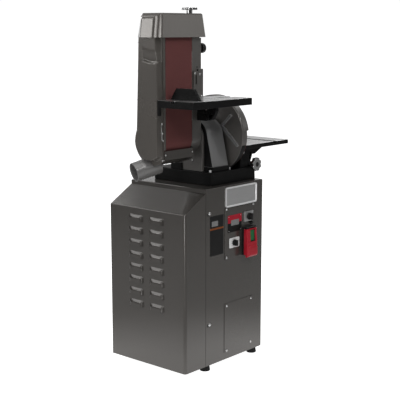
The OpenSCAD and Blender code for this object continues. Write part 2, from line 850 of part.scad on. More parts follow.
// One pressed panel of the side cover, hollow from inside.
module pressed(depth, t) {
    slab_x(cover_x - sheet - depth + t, cover_x + (t > 0 ? 1 : 0)) children();
}

// The pressed sheet cover on the belt's left side.
module side_cover() {
    top = hood_z0 + 14;
    low_back = sp_y + shroud_r - 10;
    high_back = sp_y + 69;
    split = sp_z + 315;
    color(grey) place() difference() {
        union() {
            slab_x(cover_x - sheet, cover_x) side_outline(belt_y, low_back, high_back, shroud_r, top);
            pressed(cover_raise, 0)
                side_outline(belt_y + 7, sp_y + 55, sp_y + 34, shroud_r - 16, split - 3);
            pressed(cover_raise - 2, 0) polygon([[belt_y + 7, split + 3], [belt_y + 7, top],
                [sp_y + 31, top], [sp_y + 34, split + 3]]);
            block(cover_x - 1, belt_x0 - 2, belt_y, belt_y + sheet, sp_z - 30, top);
        }
        pressed(cover_raise, sheet)
            side_outline(belt_y + 7 + sheet, sp_y + 53, sp_y + 32, shroud_r - 18, split - 3 - sheet);
        pressed(cover_raise - 2, sheet) polygon([[belt_y + 7 + sheet, split + 3 + sheet],
            [belt_y + 7 + sheet, top + 1], [sp_y + 29, top + 1], [sp_y + 32, split + 3 + sheet]]);
        port_bar(port_r + 1.5, -20, port_l + port_neck);
    }
}

// The flat sheet that covers the belt's back run.
module back_cover() {
    y_low = sp_y + shroud_r * cos(26);
    z_low = sp_z + shroud_r * sin(26);
    y_high = sp_y + 69;
    color(grey) place() slab_x(cover_x, arm_x1) polygon([
        [y_low, z_low], [y_low + sheet, z_low], [y_high + sheet, hood_z0 + 14], [y_high, hood_z0 + 14]
    ]);
}

// The flared hood's front view and side view, drawn in by t.
module hood_front(t) {
    polygon([
        [cover_x - 29 + t, hood_z0 - t], [arm_x1 + 4 - t, hood_z0 - t],
        [arm_x1 - 7 - t, hood_z1 - t], [cover_x - 18 + t, hood_z1 - t]
    ]);
}
module hood_side(t) {
    polygon([
        [belt_y - 20 + t, hood_z0 - t], [sp_y + 76 - t, hood_z0 - t], [sp_y + 66 - t, hood_z1 - 30],
        [sp_y + 40 - t, hood_z1 - t], [belt_y - 12 + t, hood_z1 - t]
    ]);
}

// The hood over the idler, open below.
module top_hood() {
    color(grey) place() difference() {
        intersection() {
            slab_y(belt_y - 40, sp_y + 100) hood_front(0);
            slab_x(cover_x - 40, arm_x1 + 20) hood_side(0);
        }
        intersection() {
            slab_y(belt_y - 40, sp_y + 100) hood_front(sheet);
            slab_x(cover_x - 40, arm_x1 + 20) hood_side(sheet);
        }
        rod_z(hood_z1 - 10, hood_z1 + 1, yoke_x, screw_y, 14);
    }
}

// A bar along the dust port's axis, from one distance behind the mouth to another.
module port_bar(r, from, to) {
    translate(port_mouth) rotate([0, 0, -port_turn]) rotate([0, 90 - port_dip, 0])
        translate([0, 0, from]) cylinder(r = r, h = to - from);
}

// Outline of the trough under the drive drum, flat in front, drawn t inside its outer face.
module trough(t) {
    intersection() {
        circle(shroud_r - t);
        translate([belt_y - sp_y - 4 + t, -2 * shroud_r]) square(4 * shroud_r);
    }
}

// The sheet trough under the drive drum, with its end plate on the arm.
module dust_shroud() {
    color(grey) place() difference() {
        union() {
            translate([0, sp_y, sp_z]) slab_x(cover_x, arm_x0) intersection() {
                difference() {
                    trough(0);
                    trough(sheet);
                }
                arc_band(0, shroud_r * 1.3, 208, 386);
            }
            translate([0, sp_y, sp_z]) slab_x(arm_x0 - sheet, arm_x0) intersection() {
                difference() {
                    trough(1);
                    circle(boss_r - 6);
                }
                arc_band(0, shroud_r * 1.3, 208, 386);
            }
        }
        port_bar(port_r - sheet, -10, port_l + port_neck + 60);
    }
}

// The dust outlet: a neck on the shroud and a straight spigot for a hose.
module dust_port() {
    color(grey) place() difference() {
        union() {
            port_bar(port_r, 0, port_l);
            port_bar(port_r + 1, port_l, port_l + port_neck);
        }
        port_bar(port_r - sheet, -1, port_l + port_neck + 1);
        rod_x(cover_x - 1, arm_x1, sp_y, sp_z, shroud_r);
    }
}

// Belt table

// Outline of one ear of the table bracket.
module belt_ear() {
    translate([bt_pin_y, bt_pin_z]) circle(15);
    translate([bt_pin_y, bt_pin_z - bt_arc]) circle(14);
    polygon([
        [bt_pin_y - 14, bt_pin_z - bt_arc], [bt_pin_y + 3, bt_pin_z - bt_arc - 14], [arm_y0, bt_pin_z - bt_arc - 14],
        [arm_y0, bt_pin_z + 14], [bt_pin_y, bt_pin_z + 14], [bt_pin_y - 14, bt_pin_z]
    ]);
}

// The slotted plate on the arm with two ears for the table.
module table_bracket() {
    z0 = bt_pin_z - bt_arc - 14;
    z1 = bt_z1 + 112;
    color(dark) place() difference() {
        union() {
            block(ear_x0, ear_x1 - 2, arm_y0 - 6, arm_y0, z0, z1);
            for (x = [ear_x0, ear_x1 - ear_t]) slab_x(x, x + ear_t) belt_ear();
        }
        rod_x(ear_x0 - 1, ear_x1 + 1, bt_pin_y, bt_pin_z, 6);
        rod_x(ear_x0 - 1, ear_x1 + 1, bt_pin_y, bt_pin_z - bt_arc, stud_r + gap);
        block(ear_x0 + 10, ear_x0 + 17, arm_y0 - 7, arm_y0 + 1, z1 - 52, z1 - 16);
        block(arm_x1, ear_x1 - ear_t, arm_y0 - 5.5, arm_y0 + 1, z0 - 1, bt_z1 - bt_h - 30);
    }
}

// The pin the belt table swings on.
module belt_table_pin() {
    color(steel) place() rod_x(ear_x0, ear_x1, bt_pin_y, bt_pin_z, 6);
}

// Outline of the lug under the belt table, with its curved lock slot.
module belt_lug() {
    top = bt_z1 - bt_plate + 1 - bt_pin_z;
    translate([bt_pin_y, bt_pin_z]) difference() {
        union() {
            circle(16);
            polygon([[-46, -8], [-46, top], [16, top], [16, 0], [0, -16]]);
            arc_band(0, bt_arc + 12, -140, -85);
            arc_band(0, bt_arc + 12, -180, -138);
        }
        circle(6 + run_fit);
        arc_slot(bt_arc, stud_r + 0.5, -135, -90);
    }
}

// The cast table in front of the belt, with a mitre slot along it.
module belt_table() {
    rim = 9;
    x1 = bt_x0 + bt_w;
    lug_x0 = ear_x0 + ear_t + lug_gap;
    lug_x1 = ear_x1 - ear_t - lug_gap;
    color(dark) place() difference() {
        union() {
            difference() {
                block(bt_x0, x1, bt_y0, bt_y1, bt_z1 - bt_h, bt_z1);
                block(bt_x0 + rim, x1 - rim, bt_y0 + rim, bt_y1 - rim, bt_z1 - bt_h - 1, bt_z1 - bt_plate);
            }
            slab_x(lug_x0, lug_x1) belt_lug();
            block(bt_x0, bt_x0 + rim, bt_y1 - 12, bt_y1, bt_z1 - bt_h - 32, bt_z1 - bt_h + 1);
        }
        block(bt_x0 - 1, x1 + 1, bt_slot_y - slot_w / 2, bt_slot_y + slot_w / 2, bt_z1 - slot_d, bt_z1 + 1);
        block(ear_x0 - 2, ear_x1 + 2, arm_y0 - 8, bt_y1 + 1, bt_z1 - bt_h - 40, bt_z1 + 1);
    }
}

// The stud through ears and lug that locks the belt table, with its head on the left.
module belt_lock_stud() {
    z = bt_pin_z - bt_arc;
    color(steel) place() {
        rod_x(ear_x0 - gap - 1, ear_x1 + gap, bt_pin_y, z, stud_r);
        rod_x(ear_x0 - 5, ear_x0 - gap, bt_pin_y, z, stud_r + 4);
    }
}

// The knob on the stud's right end.
module belt_lock_knob() {
    z = bt_pin_z - bt_arc;
    color(steel) place() rod_x(ear_x1 + gap, ear_x1 + 16, bt_pin_y, z, 13);
}

// The bar that slides in the belt table's slot, with the stud that the head turns on.
module mitre_bar() {
    color(steel) place() {
        block(bt_x0 + 14, bt_x0 + 264, bt_slot_y - slot_w / 2 + gap, bt_slot_y + slot_w / 2 - gap,
            bt_z1 - slot_d + gap, bt_z1 - gap);
        rod_z(bt_z1 - 1, bt_z1 + 8, mitre_x, bt_slot_y, 4);
    }
}

// The half-round head with its upright face.
module mitre_head() {
    x = mitre_x;
    color(black) place() {
        difference() {
            union() {
                rod_z(bt_z1 + gap, bt_z1 + 9, x, bt_slot_y, 56);
                translate([0, bt_slot_y, bt_z1]) slab_x(x - 6, x + 8)
                    polygon([[-75, gap], [75, gap], [45, 44], [-45, 44]]);
            }
            block(x - 80, x - 6, bt_slot_y - 80, bt_slot_y + 80, bt_z1, bt_z1 + 60);
            block(x + 20, x + 40, bt_slot_y - 22, bt_slot_y + 22, bt_z1, bt_z1 + 10);
            rod_z(bt_z1 - 1, bt_z1 + 8.5, x, bt_slot_y, 4 + run_fit);
        }
    }
}

// The clamp knob on the mitre head.
module mitre_knob() {
    x = mitre_x;
    color(black) place() {
        rod_z(bt_z1 + 9, bt_z1 + 20, x + 30, bt_slot_y + 40, 5);
        rod_z(bt_z1 + 20, bt_z1 + 36, x + 30, bt_slot_y + 40, 13);
    }
}

// Controls

// The switch's housing, with a lip that the stop flap hangs under.
module switch_box() {
    lip_z = sw_z + switch_h / 2 + 4 + gap;
    color(black) place() difference() {
        union() {
            block(sw_x - switch_w / 2, sw_x + switch_w / 2, panel_y - 20, panel_y,
                sw_z - switch_h / 2, lip_z + 4);
            block(sw_x - switch_w / 2, sw_x + switch_w / 2, panel_y - 28, panel_y - 19, lip_z, lip_z + 4);
        }
        block(sw_x - 15 - gap, sw_x + 15 + gap, panel_y - 21, panel_y - 6,
            sw_z + 4 - gap, sw_z + 50 + gap);
    }
}

// The red flap that stops the machine, hung from its top edge around the button.
module stop_paddle() {
    w = switch_w / 2 - 3;
    z1 = sw_z + switch_h / 2 + 4;
    y1 = panel_y - 20 - 3;
    color([0.75, 0.06, 0.05]) place() difference() {
        union() {
            block(sw_x - w, sw_x + w, y1 - 6, y1, sw_z - switch_h / 2 - 6, z1 - 3);
            rod_x(sw_x - w, sw_x + w, y1 - 3, z1 - 3, 3);
            block(sw_x - w, sw_x + w, y1 - 20, y1 - 5, sw_z - switch_h / 2 - 6, sw_z - switch_h / 2 + 44);
        }
        block(sw_x - 17, sw_x + 17, y1 - 30, y1 + 1, sw_z + 1, sw_z + 53);
    }
}

// The green start button.
module start_button() {
    color([0.1, 0.5, 0.16]) place()
        block(sw_x - 15, sw_x + 15, panel_y - 27, panel_y - 6 - button_travel - 1, sw_z + 4, sw_z + 50);
}

// The face plate of the selector switch.
module selector_plate() {
    color(steel) place() difference() {
        block(sel_x - 29, sel_x + 29, panel_y - 7, panel_y, sel_z - 21, sel_z + 21);
        rod_y(panel_y - 8, panel_y + 1, sel_x, sel_z, 6 + run_fit);
    }
}

// A round knob with a grip bar and its shaft.
module grip_knob(x, z, y1, r, shaft, deep) {
    color(black) place() {
        rod_y(y1 - 14, y1 + deep, x, z, shaft);
        rod_y(y1 - 8, y1, x, z, r);
        block(x - 4, x + 4, y1 - 20, y1 - 7, z - r + 1, z + r - 1);
    }
}
module selector_knob() grip_knob(sel_x, sel_z, panel_y - 7 - gap, 15, 6, 14);
module speed_knob() grip_knob(speed_x, speed_z, panel_y - gap, 13, 4.9, 12);

// The small reset button of the overload switch.
module reset_button() {
    color(black) place() {
        rod_y(panel_y - 3, panel_y, panel_x0 + 172, panel_z1 - 80, 8);
        rod_y(panel_y - 10, panel_y - 2, panel_x0 + 172, panel_z1 - 80, 6);
    }
}

// The strain relief where the mains lead leaves the cabinet's back.
module cord_gland() {
    x = box_x1 - 98;
    z = cab_z0 + 92;
    color(black) place() difference() {
        union() {
            rod_y(back_y, back_y + 7, x, z, 14);
            rod_y(back_y + 6, back_y + gland_l, x, z, 10);
        }
        rod_y(back_y + 4, back_y + gland_l + 1, x, z, 5);
    }
}

cabinet();
motor_cover();
control_panel();
access_panel();
foot_front_left();
foot_front_right();
foot_back_left();
foot_back_right();
base_casting();
base_bolts();
headstock();
bearing_left();
bearing_right();
pivot_bracket();
spindle();
spindle_pulley();
drive_belt();
motor_pulley();
motor_shaft();
motor();
motor_shelf();
pulley_guard();
disc_guard();
sanding_disc();
abrasive_disc();
disc_bracket();
disc_table_pins();
disc_table();
disc_lock_stud();
disc_lock_knob();
arm();
platen();
drive_drum();
idler_drum();
idler_carrier();
idler_yoke();
tension_knob();
tracking_knob();
sanding_belt();
side_cover();
back_cover();
top_hood();
dust_shroud();
dust_port();
table_bracket();
belt_table_pin();
belt_table();
belt_lock_stud();
belt_lock_knob();
mitre_bar();
mitre_head();
mitre_knob();
switch_box();
stop_paddle();
start_button();
selector_plate();
selector_knob();
speed_knob();
reset_button();
cord_gland();
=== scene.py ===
import json
import math

import bmesh
import bpy
from mathutils import Matrix, Vector

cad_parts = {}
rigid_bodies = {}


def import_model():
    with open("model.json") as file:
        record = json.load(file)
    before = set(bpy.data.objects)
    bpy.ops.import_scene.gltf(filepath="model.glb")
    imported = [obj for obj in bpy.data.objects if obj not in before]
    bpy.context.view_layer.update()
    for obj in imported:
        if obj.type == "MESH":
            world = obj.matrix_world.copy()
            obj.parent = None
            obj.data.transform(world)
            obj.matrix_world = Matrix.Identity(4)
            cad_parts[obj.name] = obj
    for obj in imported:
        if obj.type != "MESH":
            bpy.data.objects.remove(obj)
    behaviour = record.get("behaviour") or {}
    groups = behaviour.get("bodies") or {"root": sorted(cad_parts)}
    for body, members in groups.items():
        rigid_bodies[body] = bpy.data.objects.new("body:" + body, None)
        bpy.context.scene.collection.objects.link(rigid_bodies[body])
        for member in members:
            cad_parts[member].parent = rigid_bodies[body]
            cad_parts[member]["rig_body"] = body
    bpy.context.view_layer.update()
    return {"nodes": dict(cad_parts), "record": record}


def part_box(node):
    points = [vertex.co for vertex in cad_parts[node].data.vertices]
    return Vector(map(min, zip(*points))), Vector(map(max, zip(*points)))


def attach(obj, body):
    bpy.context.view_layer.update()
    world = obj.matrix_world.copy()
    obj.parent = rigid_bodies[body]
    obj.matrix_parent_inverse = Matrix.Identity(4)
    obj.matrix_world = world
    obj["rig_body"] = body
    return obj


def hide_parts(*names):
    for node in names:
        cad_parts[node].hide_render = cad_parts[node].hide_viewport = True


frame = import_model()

# The studio: a pale floor that glows by itself, plain white to the camera and a painted pool of light
# around the stand for the light it sheds, a white backdrop, soft lamps.
# The camera stands to the front left of the machine, at the height of the idler drum.
half_width, half_depth = 247.5, 208
cabinet_low, cabinet_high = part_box("cabinet")
stand_centre = Vector((cabinet_high.x - half_width / 1000, cabinet_low.y + half_depth / 1000, 0))


def at(x, y, z):
    """A place given in millimetres from the cabinet's centre on the floor."""
    return stand_centre + Vector((x, y, z)) / 1000


class Wire:
    """A shader value that takes Python's signs; each sign adds one Math node."""

    def __init__(self, finish, socket):
        self.finish, self.socket = finish, socket

    def sign(self, operation, other):
        return self.finish.node("Math", {"operation": operation}, {0: self, 1: other})

    def __add__(self, other):
        return self.sign("ADD", other)

    def __mul__(self, other):
        return self.sign("MULTIPLY", other)

    def __gt__(self, other):
        return self.sign("GREATER_THAN", other)


class Finish:
    """A procedural material around one Principled shader, laid out in the piece's own metres."""

    def __init__(self, name, **even):
        self.material = bpy.data.materials.new(name)
        self.material.use_nodes = True
        self.tree = self.material.node_tree
        self.shader = self.tree.nodes["Principled BSDF"]
        self.place = self.node("TexCoord", {}, {}, "Object")
        self.coat(**even)

    def node(self, kind, settings, sockets, out=0):
        made = self.tree.nodes.new("ShaderNode" + kind)
        for key, value in settings.items():
            setattr(made, key, value)
        for key, value in sockets.items():
            self.feed(made.inputs[key], value)
        return Wire(self, made.outputs[out])

    def feed(self, socket, value):
        if isinstance(value, Wire):
            self.tree.links.new(value.socket, socket)
        else:
            socket.default_value = value

    def coat(self, **sockets):
        for key, value in sockets.items():
            self.feed(self.shader.inputs[key.replace("_", " ").title().replace("Ior", "IOR")], value)

    def noise(self, size, detail=2, rough=0.5, stretch=(1, 1, 1)):
        """Noise with grains of about that many millimetres, long on an axis where stretch is small."""
        where = self.node("Mapping", {}, {"Vector": self.place, "Scale": stretch})
        return self.node(
            "TexNoise", {}, {"Vector": where, "Scale": 1000 / size, "Detail": detail, "Roughness": rough},
        )

    def mix(self, share, first, second):
        return self.node("Mix", {"data_type": "RGBA"}, {0: share, 6: first, 7: second}, 2)

    def bump(self, height, depth, strength=1.0):
        """A bump of that many millimetres."""
        return self.node("Bump", {}, {"Height": height, "Distance": depth / 1000, "Strength": strength})


def grey(value, warm=0.0):
    return (value * (1 + warm), value, value * (1 - warm), 1)


# The floor is no lamp but glows: near the stand its emission is a painted pool of light that lights the
# machine from below.
floor_half, pool_rim, pool_heart = 40, 1.0, 0.45
floor_finish = Finish("pale_floor", roughness=0.8, specular_ior_level=0.1, emission_strength=1.0)
reach = floor_finish.node(
    "VectorMath", {"operation": "DISTANCE"}, {0: floor_finish.place, 1: stand_centre}, "Value",
)
pool = floor_finish.node("MapRange", {}, {"Value": reach, "From Min": pool_rim, "From Max": pool_heart})
seen = floor_finish.node("LightPath", {}, {}, "Is Camera Ray")
floor_finish.coat(
    base_color=floor_finish.mix(floor_finish.noise(300, 4), grey(0.5), grey(0.54)),
    emission_color=floor_finish.mix(seen, floor_finish.mix(pool, grey(0.05), grey(1)), grey(1)),
)
shape = bmesh.new()
bmesh.ops.create_grid(shape, x_segments=1, y_segments=1, size=floor_half)
floor_mesh = bpy.data.meshes.new("floor")
shape.to_mesh(floor_mesh)
shape.free()
floor_mesh.materials.append(floor_finish.material)
floor = bpy.data.objects.new("floor", floor_mesh)
bpy.context.scene.collection.objects.link(floor)

wall_side = (0.755, 0.656, 0)
low_glow, high_glow, wall_glow, backdrop_glow = 0.05, 0.5, 1.15, 1.02
room = bpy.data.worlds.new("studio_room")
room.use_nodes = True
room_nodes = room.node_tree.nodes
way = room_nodes.new("ShaderNodeTexCoord")


def room_node(kind, **sockets):
    """Adds a node to the room's light; n0 and n1 are sockets by number, the others go by name."""
    made = room_nodes.new("ShaderNode" + kind)
    for key, value in sockets.items():
        socket = made.inputs[{"n0": 0, "n1": 1}.get(key, key.replace("_", " ").title())]
        if isinstance(value, bpy.types.NodeSocket):
            room.node_tree.links.new(value, socket)
        else:
            socket.default_value = value
    return made


facing = room_node("VectorMath", n0=way.outputs["Generated"], n1=wall_side)
facing.operation = "DOT_PRODUCT"
upwards = room_node("SeparateXYZ", vector=way.outputs["Generated"]).outputs["Z"]
towards = room_node("MapRange", value=facing.outputs["Value"], from_min=0.70, from_max=0.92)
below = room_node("MapRange", value=upwards, from_min=0.27, from_max=0.04)
wall = room_node("Math", n0=towards.outputs["Result"], n1=below.outputs["Result"])
wall.operation = "MULTIPLY"
sky = room_node("MapRange", value=upwards, from_min=0.3, from_max=0.8, to_min=low_glow, to_max=high_glow)
glow = room_node("MapRange", value=wall.outputs["Value"], to_min=sky.outputs["Result"], to_max=wall_glow)
ray = room_node("LightPath").outputs["Is Camera Ray"]
shown = room_node("MapRange", value=ray, to_min=glow.outputs["Result"], to_max=backdrop_glow)
room.node_tree.links.new(shown.outputs["Result"], room_nodes["Background"].inputs["Color"])
bpy.context.scene.world = room
bpy.context.scene.view_settings.view_transform = "Standard"

for lamp_name, place, aim, size, power in (
    ("top_lamp", (-300, -500, 3400), (-50, 0, 0), 2.4, 14),
    ("high_left_lamp", (-1566, 2257, 2781), (-200, 0, 600), 1.5, 14),
    ("back_left_lamp", (-2600, 2100, 1950), (-150, 0, 1200), 1.0, 15),
    ("left_lamp", (-3200, -200, 1800), (-150, -50, 900), 1.2, 18),
    ("camera_lamp", (-2500, -2100, 3100), (-50, -50, 900), 0.7, 20),
    ("corner_lamp", (-2500, -1700, 150), (-247, -208, 350), 0.3, 8),
    ("front_lamp", (-200, -3100, 3200), (0, -100, 900), 0.6, 34),
    ("right_lamp", (2300, -2300, 2000), (100, -50, 1000), 1.2, 4.5),
    ("far_right_lamp", (3400, 800, 2700), (0, 0, 800), 1.6, 40),
    ("back_lamp", (500, 3600, 2600), (0, 0, 800), 1.6, 40),
):
    lamp_data = bpy.data.lights.new(lamp_name, "AREA")
    lamp_data.shape, lamp_data.size, lamp_data.energy = "DISK", size, power
    lamp = bpy.data.objects.new(lamp_name, lamp_data)
    lamp.location = at(*place)
    lamp.rotation_euler = (at(*aim) - at(*place)).to_track_quat("-Z", "Y").to_euler()
    bpy.context.scene.collection.objects.link(lamp)

camera_place, camera_aim = (-3003.0, -2676.7, 1393.0), (0.7437, 0.6454, -0.1743)
focal_length, film_width, far_end = 87.42, 36, 60
camera_data = bpy.data.cameras.new("camera")
camera_data.lens, camera_data.sensor_width, camera_data.clip_end = focal_length, film_width, far_end
camera = bpy.data.objects.new("camera", camera_data)
camera.location = at(*camera_place)
camera.rotation_euler = Vector(camera_aim).to_track_quat("-Z", "Y").to_euler()
bpy.context.scene.collection.objects.link(camera)
bpy.context.scene.camera = camera


# The cabinet: a welded box of 2 mm sheet, its upright edges rolled, sprayed warm grey.
# The two flat panels on its front are sheet too, with their edges left square.
def spray_enamel(name, dark, light, shine):
    """Metallic enamel: fine flakes, a slight orange peel and drifts of dust, under a clear coat."""
    paint = Finish(name, metallic=0.35, coat_weight=0.35, coat_roughness=shine * 0.6)
    flakes = paint.noise(1.3, 3)
    drift = paint.noise(260, 4)
    paint.coat(
        base_color=paint.mix(flakes * 0.5 + drift * 0.5, dark, light),
        roughness=drift * 0.14 + (shine - 0.07),
        normal=paint.bump(paint.noise(5, 2), 0.03),
    )
    return paint


grey_enamel = spray_enamel("grey_enamel", grey(0.04, 0.1), grey(0.056, 0.1), 0.23)
slots = {part["node"]: part["material_slot"] for part in frame["record"]["subparts"]}


def put(name, shape, finishes, body, slot, *solids):
    """Makes a piece of a finished mesh, on its body, in place of the solids it stands for."""
    mesh = bpy.data.meshes.new(name)
    shape.to_mesh(mesh)
    shape.free()
    for finish in finishes:
        mesh.materials.append(finish.material)
    mesh.shade_smooth()
    mesh.set_sharp_from_angle(angle=0.7)
    piece = bpy.data.objects.new(name, mesh)
    bpy.context.scene.collection.objects.link(piece)
    piece.modifiers.new("flat_faces", "WEIGHTED_NORMAL").keep_sharp = True
    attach(piece, body)
    if solids:
        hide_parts(*solids)
    return piece


def sharp_edges(shape, angle=0.6):
    return [edge for edge in shape.edges if edge.is_manifold and edge.calc_face_angle() > angle]


def round_edges(shape, edges, radius, segments=3):
    """Rounds those edges to a radius in millimetres."""
    return bmesh.ops.bevel(
        shape, geom=edges, offset=radius / 1000, offset_type="OFFSET", affect="EDGES",
        segments=segments, profile=0.5, material=-1, clamp_overlap=False,
    )


def box(shape, low, high):
    """A box between two corners, in millimetres from the cabinet's centre."""
    low, high = at(*low), at(*high)
    place = Matrix.Translation((low + high) / 2) @ Matrix.Diagonal((*(high - low), 1))
    return bmesh.ops.create_cube(shape, size=1, matrix=place)["verts"]


def dress(node, radius, finishes, pick=None, segments=2, swell=1.0):
    """Copies a solid, rounds its edges and gives it its finish; pick chooses a finish face by face."""
    shape = bmesh.new()
    shape.from_mesh(frame["nodes"][node].data)
    bmesh.ops.remove_doubles(shape, verts=shape.verts, dist=1e-6)
    bmesh.ops.dissolve_limit(shape, angle_limit=0.01, verts=shape.verts, edges=shape.edges)
    low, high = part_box(node)
    middle = Matrix.Translation((low + high) / 2)
    wider = middle @ Matrix.Diagonal((swell, swell, 1, 1)) @ middle.inverted()
    bmesh.ops.transform(shape, matrix=wider, verts=shape.verts)
    if pick:
        for face in shape.faces:
            face.material_index = pick(face)
    if radius:
        round_edges(shape, sharp_edges(shape), radius, segments)
    return put(node + "_finish", shape, finishes, frame["nodes"][node]["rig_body"], slots[node], node)


front_y, back_y = -half_depth, half_depth
box_left, sheet_foot, cabinet_top, rolled_edge = -121.8, 28, 763, 3
shape = bmesh.new()
box(shape, (box_left, front_y, sheet_foot), (half_width, back_y, cabinet_top))
upright = [edge for edge in shape.edges if abs(edge.verts[0].co.z - edge.verts[1].co.z) > 0.1]
round_edges(shape, [edge for edge in upright if edge.verts[0].co.x > at(0, 0, 0).x], rolled_edge, 4)
near_top = at(0, 0, cabinet_top - 10).z
top_edges = [edge for edge in sharp_edges(shape) if min(vert.co.z for vert in edge.verts) > near_top]
round_edges(shape, top_edges, rolled_edge)
put("cabinet_shell", shape, [grey_enamel], "stand", "grey_paint", "cabinet")
dress("control_panel", 0.5, [grey_enamel])
dress("access_panel", 0.5, [grey_enamel])
dress("motor_shelf", 0, [grey_enamel])

# The motor cover: one bent sheet with a sloped shoulder, pressed through with two columns of louvres.
# Each louvre is a hood that rises out of the sheet; the opening along its lower edge is a fold of sheet in
# near black, painted shade of the dark inside.
# A near-black finish of painted shade, for openings and recesses that are drawn only as faces.
shadow = Finish("louvre_shadow", roughness=0.8)
shadow.coat(base_color=shadow.mix(shadow.noise(4), grey(0.006), grey(0.012)))
seam_left, shoulder_high, shoulder_low = -123.6, 745, 676
near_radius, bend_radius = 12, 2
louvre_columns, louvre_rows, louvre_pitch, louvre_top = (-93, 21), 8, 51, shoulder_low - 28


def new_verts(made):
    """The vertices among what an extrusion made."""
    return [part for part in made["geom"] if isinstance(part, bmesh.types.BMVert)]


shape = bmesh.new()
outline = [
    (-half_width, sheet_foot), (seam_left, sheet_foot),
    (seam_left, shoulder_high), (-half_width, shoulder_low),
]
front = shape.faces.new([shape.verts.new(at(x, front_y, z)) for x, z in outline])
back = new_verts(bmesh.ops.extrude_face_region(shape, geom=[front]))
bmesh.ops.translate(shape, verts=back, vec=(0, 2 * half_depth / 1000, 0))
bmesh.ops.recalc_face_normals(shape, faces=shape.faces)
seam_x = at(seam_left, 0, 0).x - 0.001
corner_x, middle_y = at(7.5 - half_width, 0, 0).x, at(0, 0, 0).y
near = [e for e in shape.edges if all(v.co.x < corner_x and v.co.y < middle_y for v in e.verts)]
round_edges(shape, near, near_radius, 8)
bends = [e for e in sharp_edges(shape, 0.3) if min(v.co.x for v in e.verts) < seam_x]
round_edges(shape, [e for e in bends if max(v.co.z for v in e.verts) > 0.1], bend_radius, 3)


def press_louvre(shape, y0, z1, length=77, height=27, rise=9):
    """Adds one louvre with its front upper corner at that place; its lip is folded back into the sheet,
    and the fold is coloured near black as painted shade of the opening.
    """
    hood = bmesh.ops.create_grid(shape, x_segments=28, y_segments=10, size=0.5)["verts"]
    for vert in hood:
        along, down = vert.co.x + 0.5, 0.5 - vert.co.y
        front_run, back_run = 22 - 17 * down, 34 - 24 * down
        front = min(1, along * length / front_run)
        back = min(1, (1 - along) * length / back_run)
        arch = math.sqrt(1 - (1 - front) ** 2) * math.sqrt(1 - (1 - back) ** 2)
        slope = math.sin(math.pi / 2 * min(1, 2 * down))
        vert.co = at(0.2 - half_width - rise * arch * slope, y0 + along * length, z1 - down * height)
    lip_z = at(0, 0, z1 - height).z + 1e-5
    lip = {e for v in hood for e in v.link_edges if max(end.co.z for end in e.verts) < lip_z}
    fold = bmesh.ops.extrude_edge_only(shape, edges=list(lip))
    for vert in new_verts(fold):
        vert.co.x = at(1 - half_width, 0, 0).x
        vert.co.z += 0.002
    # The fold takes the near-black second finish: painted shade where the louvre stands open.
    for part in fold["geom"]:
        if isinstance(part, bmesh.types.BMFace):
            part.material_index = 1


for column in louvre_columns:
    for row in range(louvre_rows):
        press_louvre(shape, column, louvre_top - louvre_pitch * row)
bmesh.ops.recalc_face_normals(shape, faces=[f for f in shape.faces if f.material_index == 0])
put("motor_cover_shell", shape, [grey_enamel, shadow], "stand", "grey_paint", "motor_cover")

# What is fixed to the front: a bare name plate with a raised rim, a black label with a pale field, a red
# and black rating plate on four rivets, a white dial plate, screws and two catches. All are bare.
anodised = Finish("anodised_plate", metallic=0.8)
anodised.coat(
    base_color=anodised.mix(anodised.noise(0.8, 2, 0.5, (0.03, 1, 1)), grey(0.4), grey(0.5)),
    roughness=anodised.noise(30, 3) * 0.14 + 0.34,
)
bright_edge = Finish("bright_edge", metallic=0.6)
bright_edge.coat(
    base_color=bright_edge.mix(bright_edge.noise(12, 2), grey(0.8), grey(0.9)),
    roughness=bright_edge.noise(30, 3) * 0.14 + 0.3,
)
field_ink = Finish("field_ink", roughness=0.5, specular_ior_level=0.2)
field_ink.coat(base_color=field_ink.mix(field_ink.noise(2.5, 2), grey(0.1), grey(0.26)))
vinyl = Finish("black_vinyl", specular_ior_level=0.12)
vinyl.coat(
    base_color=vinyl.mix(vinyl.noise(40, 3), grey(0.009), grey(0.015)),
    roughness=vinyl.noise(25, 2) * 0.1 + 0.4,
)
white_enamel = Finish("white_enamel", roughness=0.4)
white_enamel.coat(base_color=white_enamel.mix(white_enamel.noise(20, 2), grey(0.6), grey(0.7)))
two_tone = Finish("red_and_black_plate", roughness=0.42, specular_ior_level=0.15)
height = two_tone.node("SeparateXYZ", {}, {"Vector": two_tone.place}, "Z")
red_half = two_tone.mix(two_tone.noise(15, 2), (0.3, 0.008, 0.02, 1), (0.36, 0.012, 0.026, 1))
red_foot = at(0, 0, 604).z
two_tone.coat(base_color=two_tone.mix(height > red_foot, grey(0.006), red_half))
orange_ink = Finish("orange_ink", roughness=0.5, specular_ior_level=0.15)
dark_orange, light_orange = (0.16, 0.045, 0.012, 1), (0.2, 0.06, 0.016, 1)
orange_ink.coat(base_color=orange_ink.mix(orange_ink.noise(20, 2), dark_orange, light_orange))
screw_steel = Finish("screw_steel", metallic=1.0)
screw_steel.coat(
    base_color=screw_steel.mix(screw_steel.noise(6, 3), grey(0.6), grey(0.75)),
    roughness=screw_steel.noise(3, 2) * 0.15 + 0.22,
)


def second_finish(verts):
    """Gives the faces around those vertices their piece's second finish."""
    for vert in verts:
        for face in vert.link_faces:
            face.material_index = 1


def tablet(name, low, high, corner, finish, slot, rim=0.0, edge=None):
    """A thin plate on the front with rounded corners; a rim leaves its middle sunk."""
    shape = bmesh.new()
    box(shape, low, high)
    across = [e for e in shape.edges if abs(e.verts[0].co.y - e.verts[1].co.y) > 1e-5]
    round_edges(shape, across, corner, 6)
    shape.faces.ensure_lookup_table()
    face = min(shape.faces, key=lambda f: f.normal.y)
    if rim:
        bmesh.ops.inset_region(shape, faces=[face], thickness=rim / 1000, depth=0)
        bmesh.ops.inset_region(shape, faces=[face], thickness=0.0015, depth=-0.0025)
        face.material_index = 1
    return put(name, shape, [edge, finish] if rim else [finish], "stand", slot)


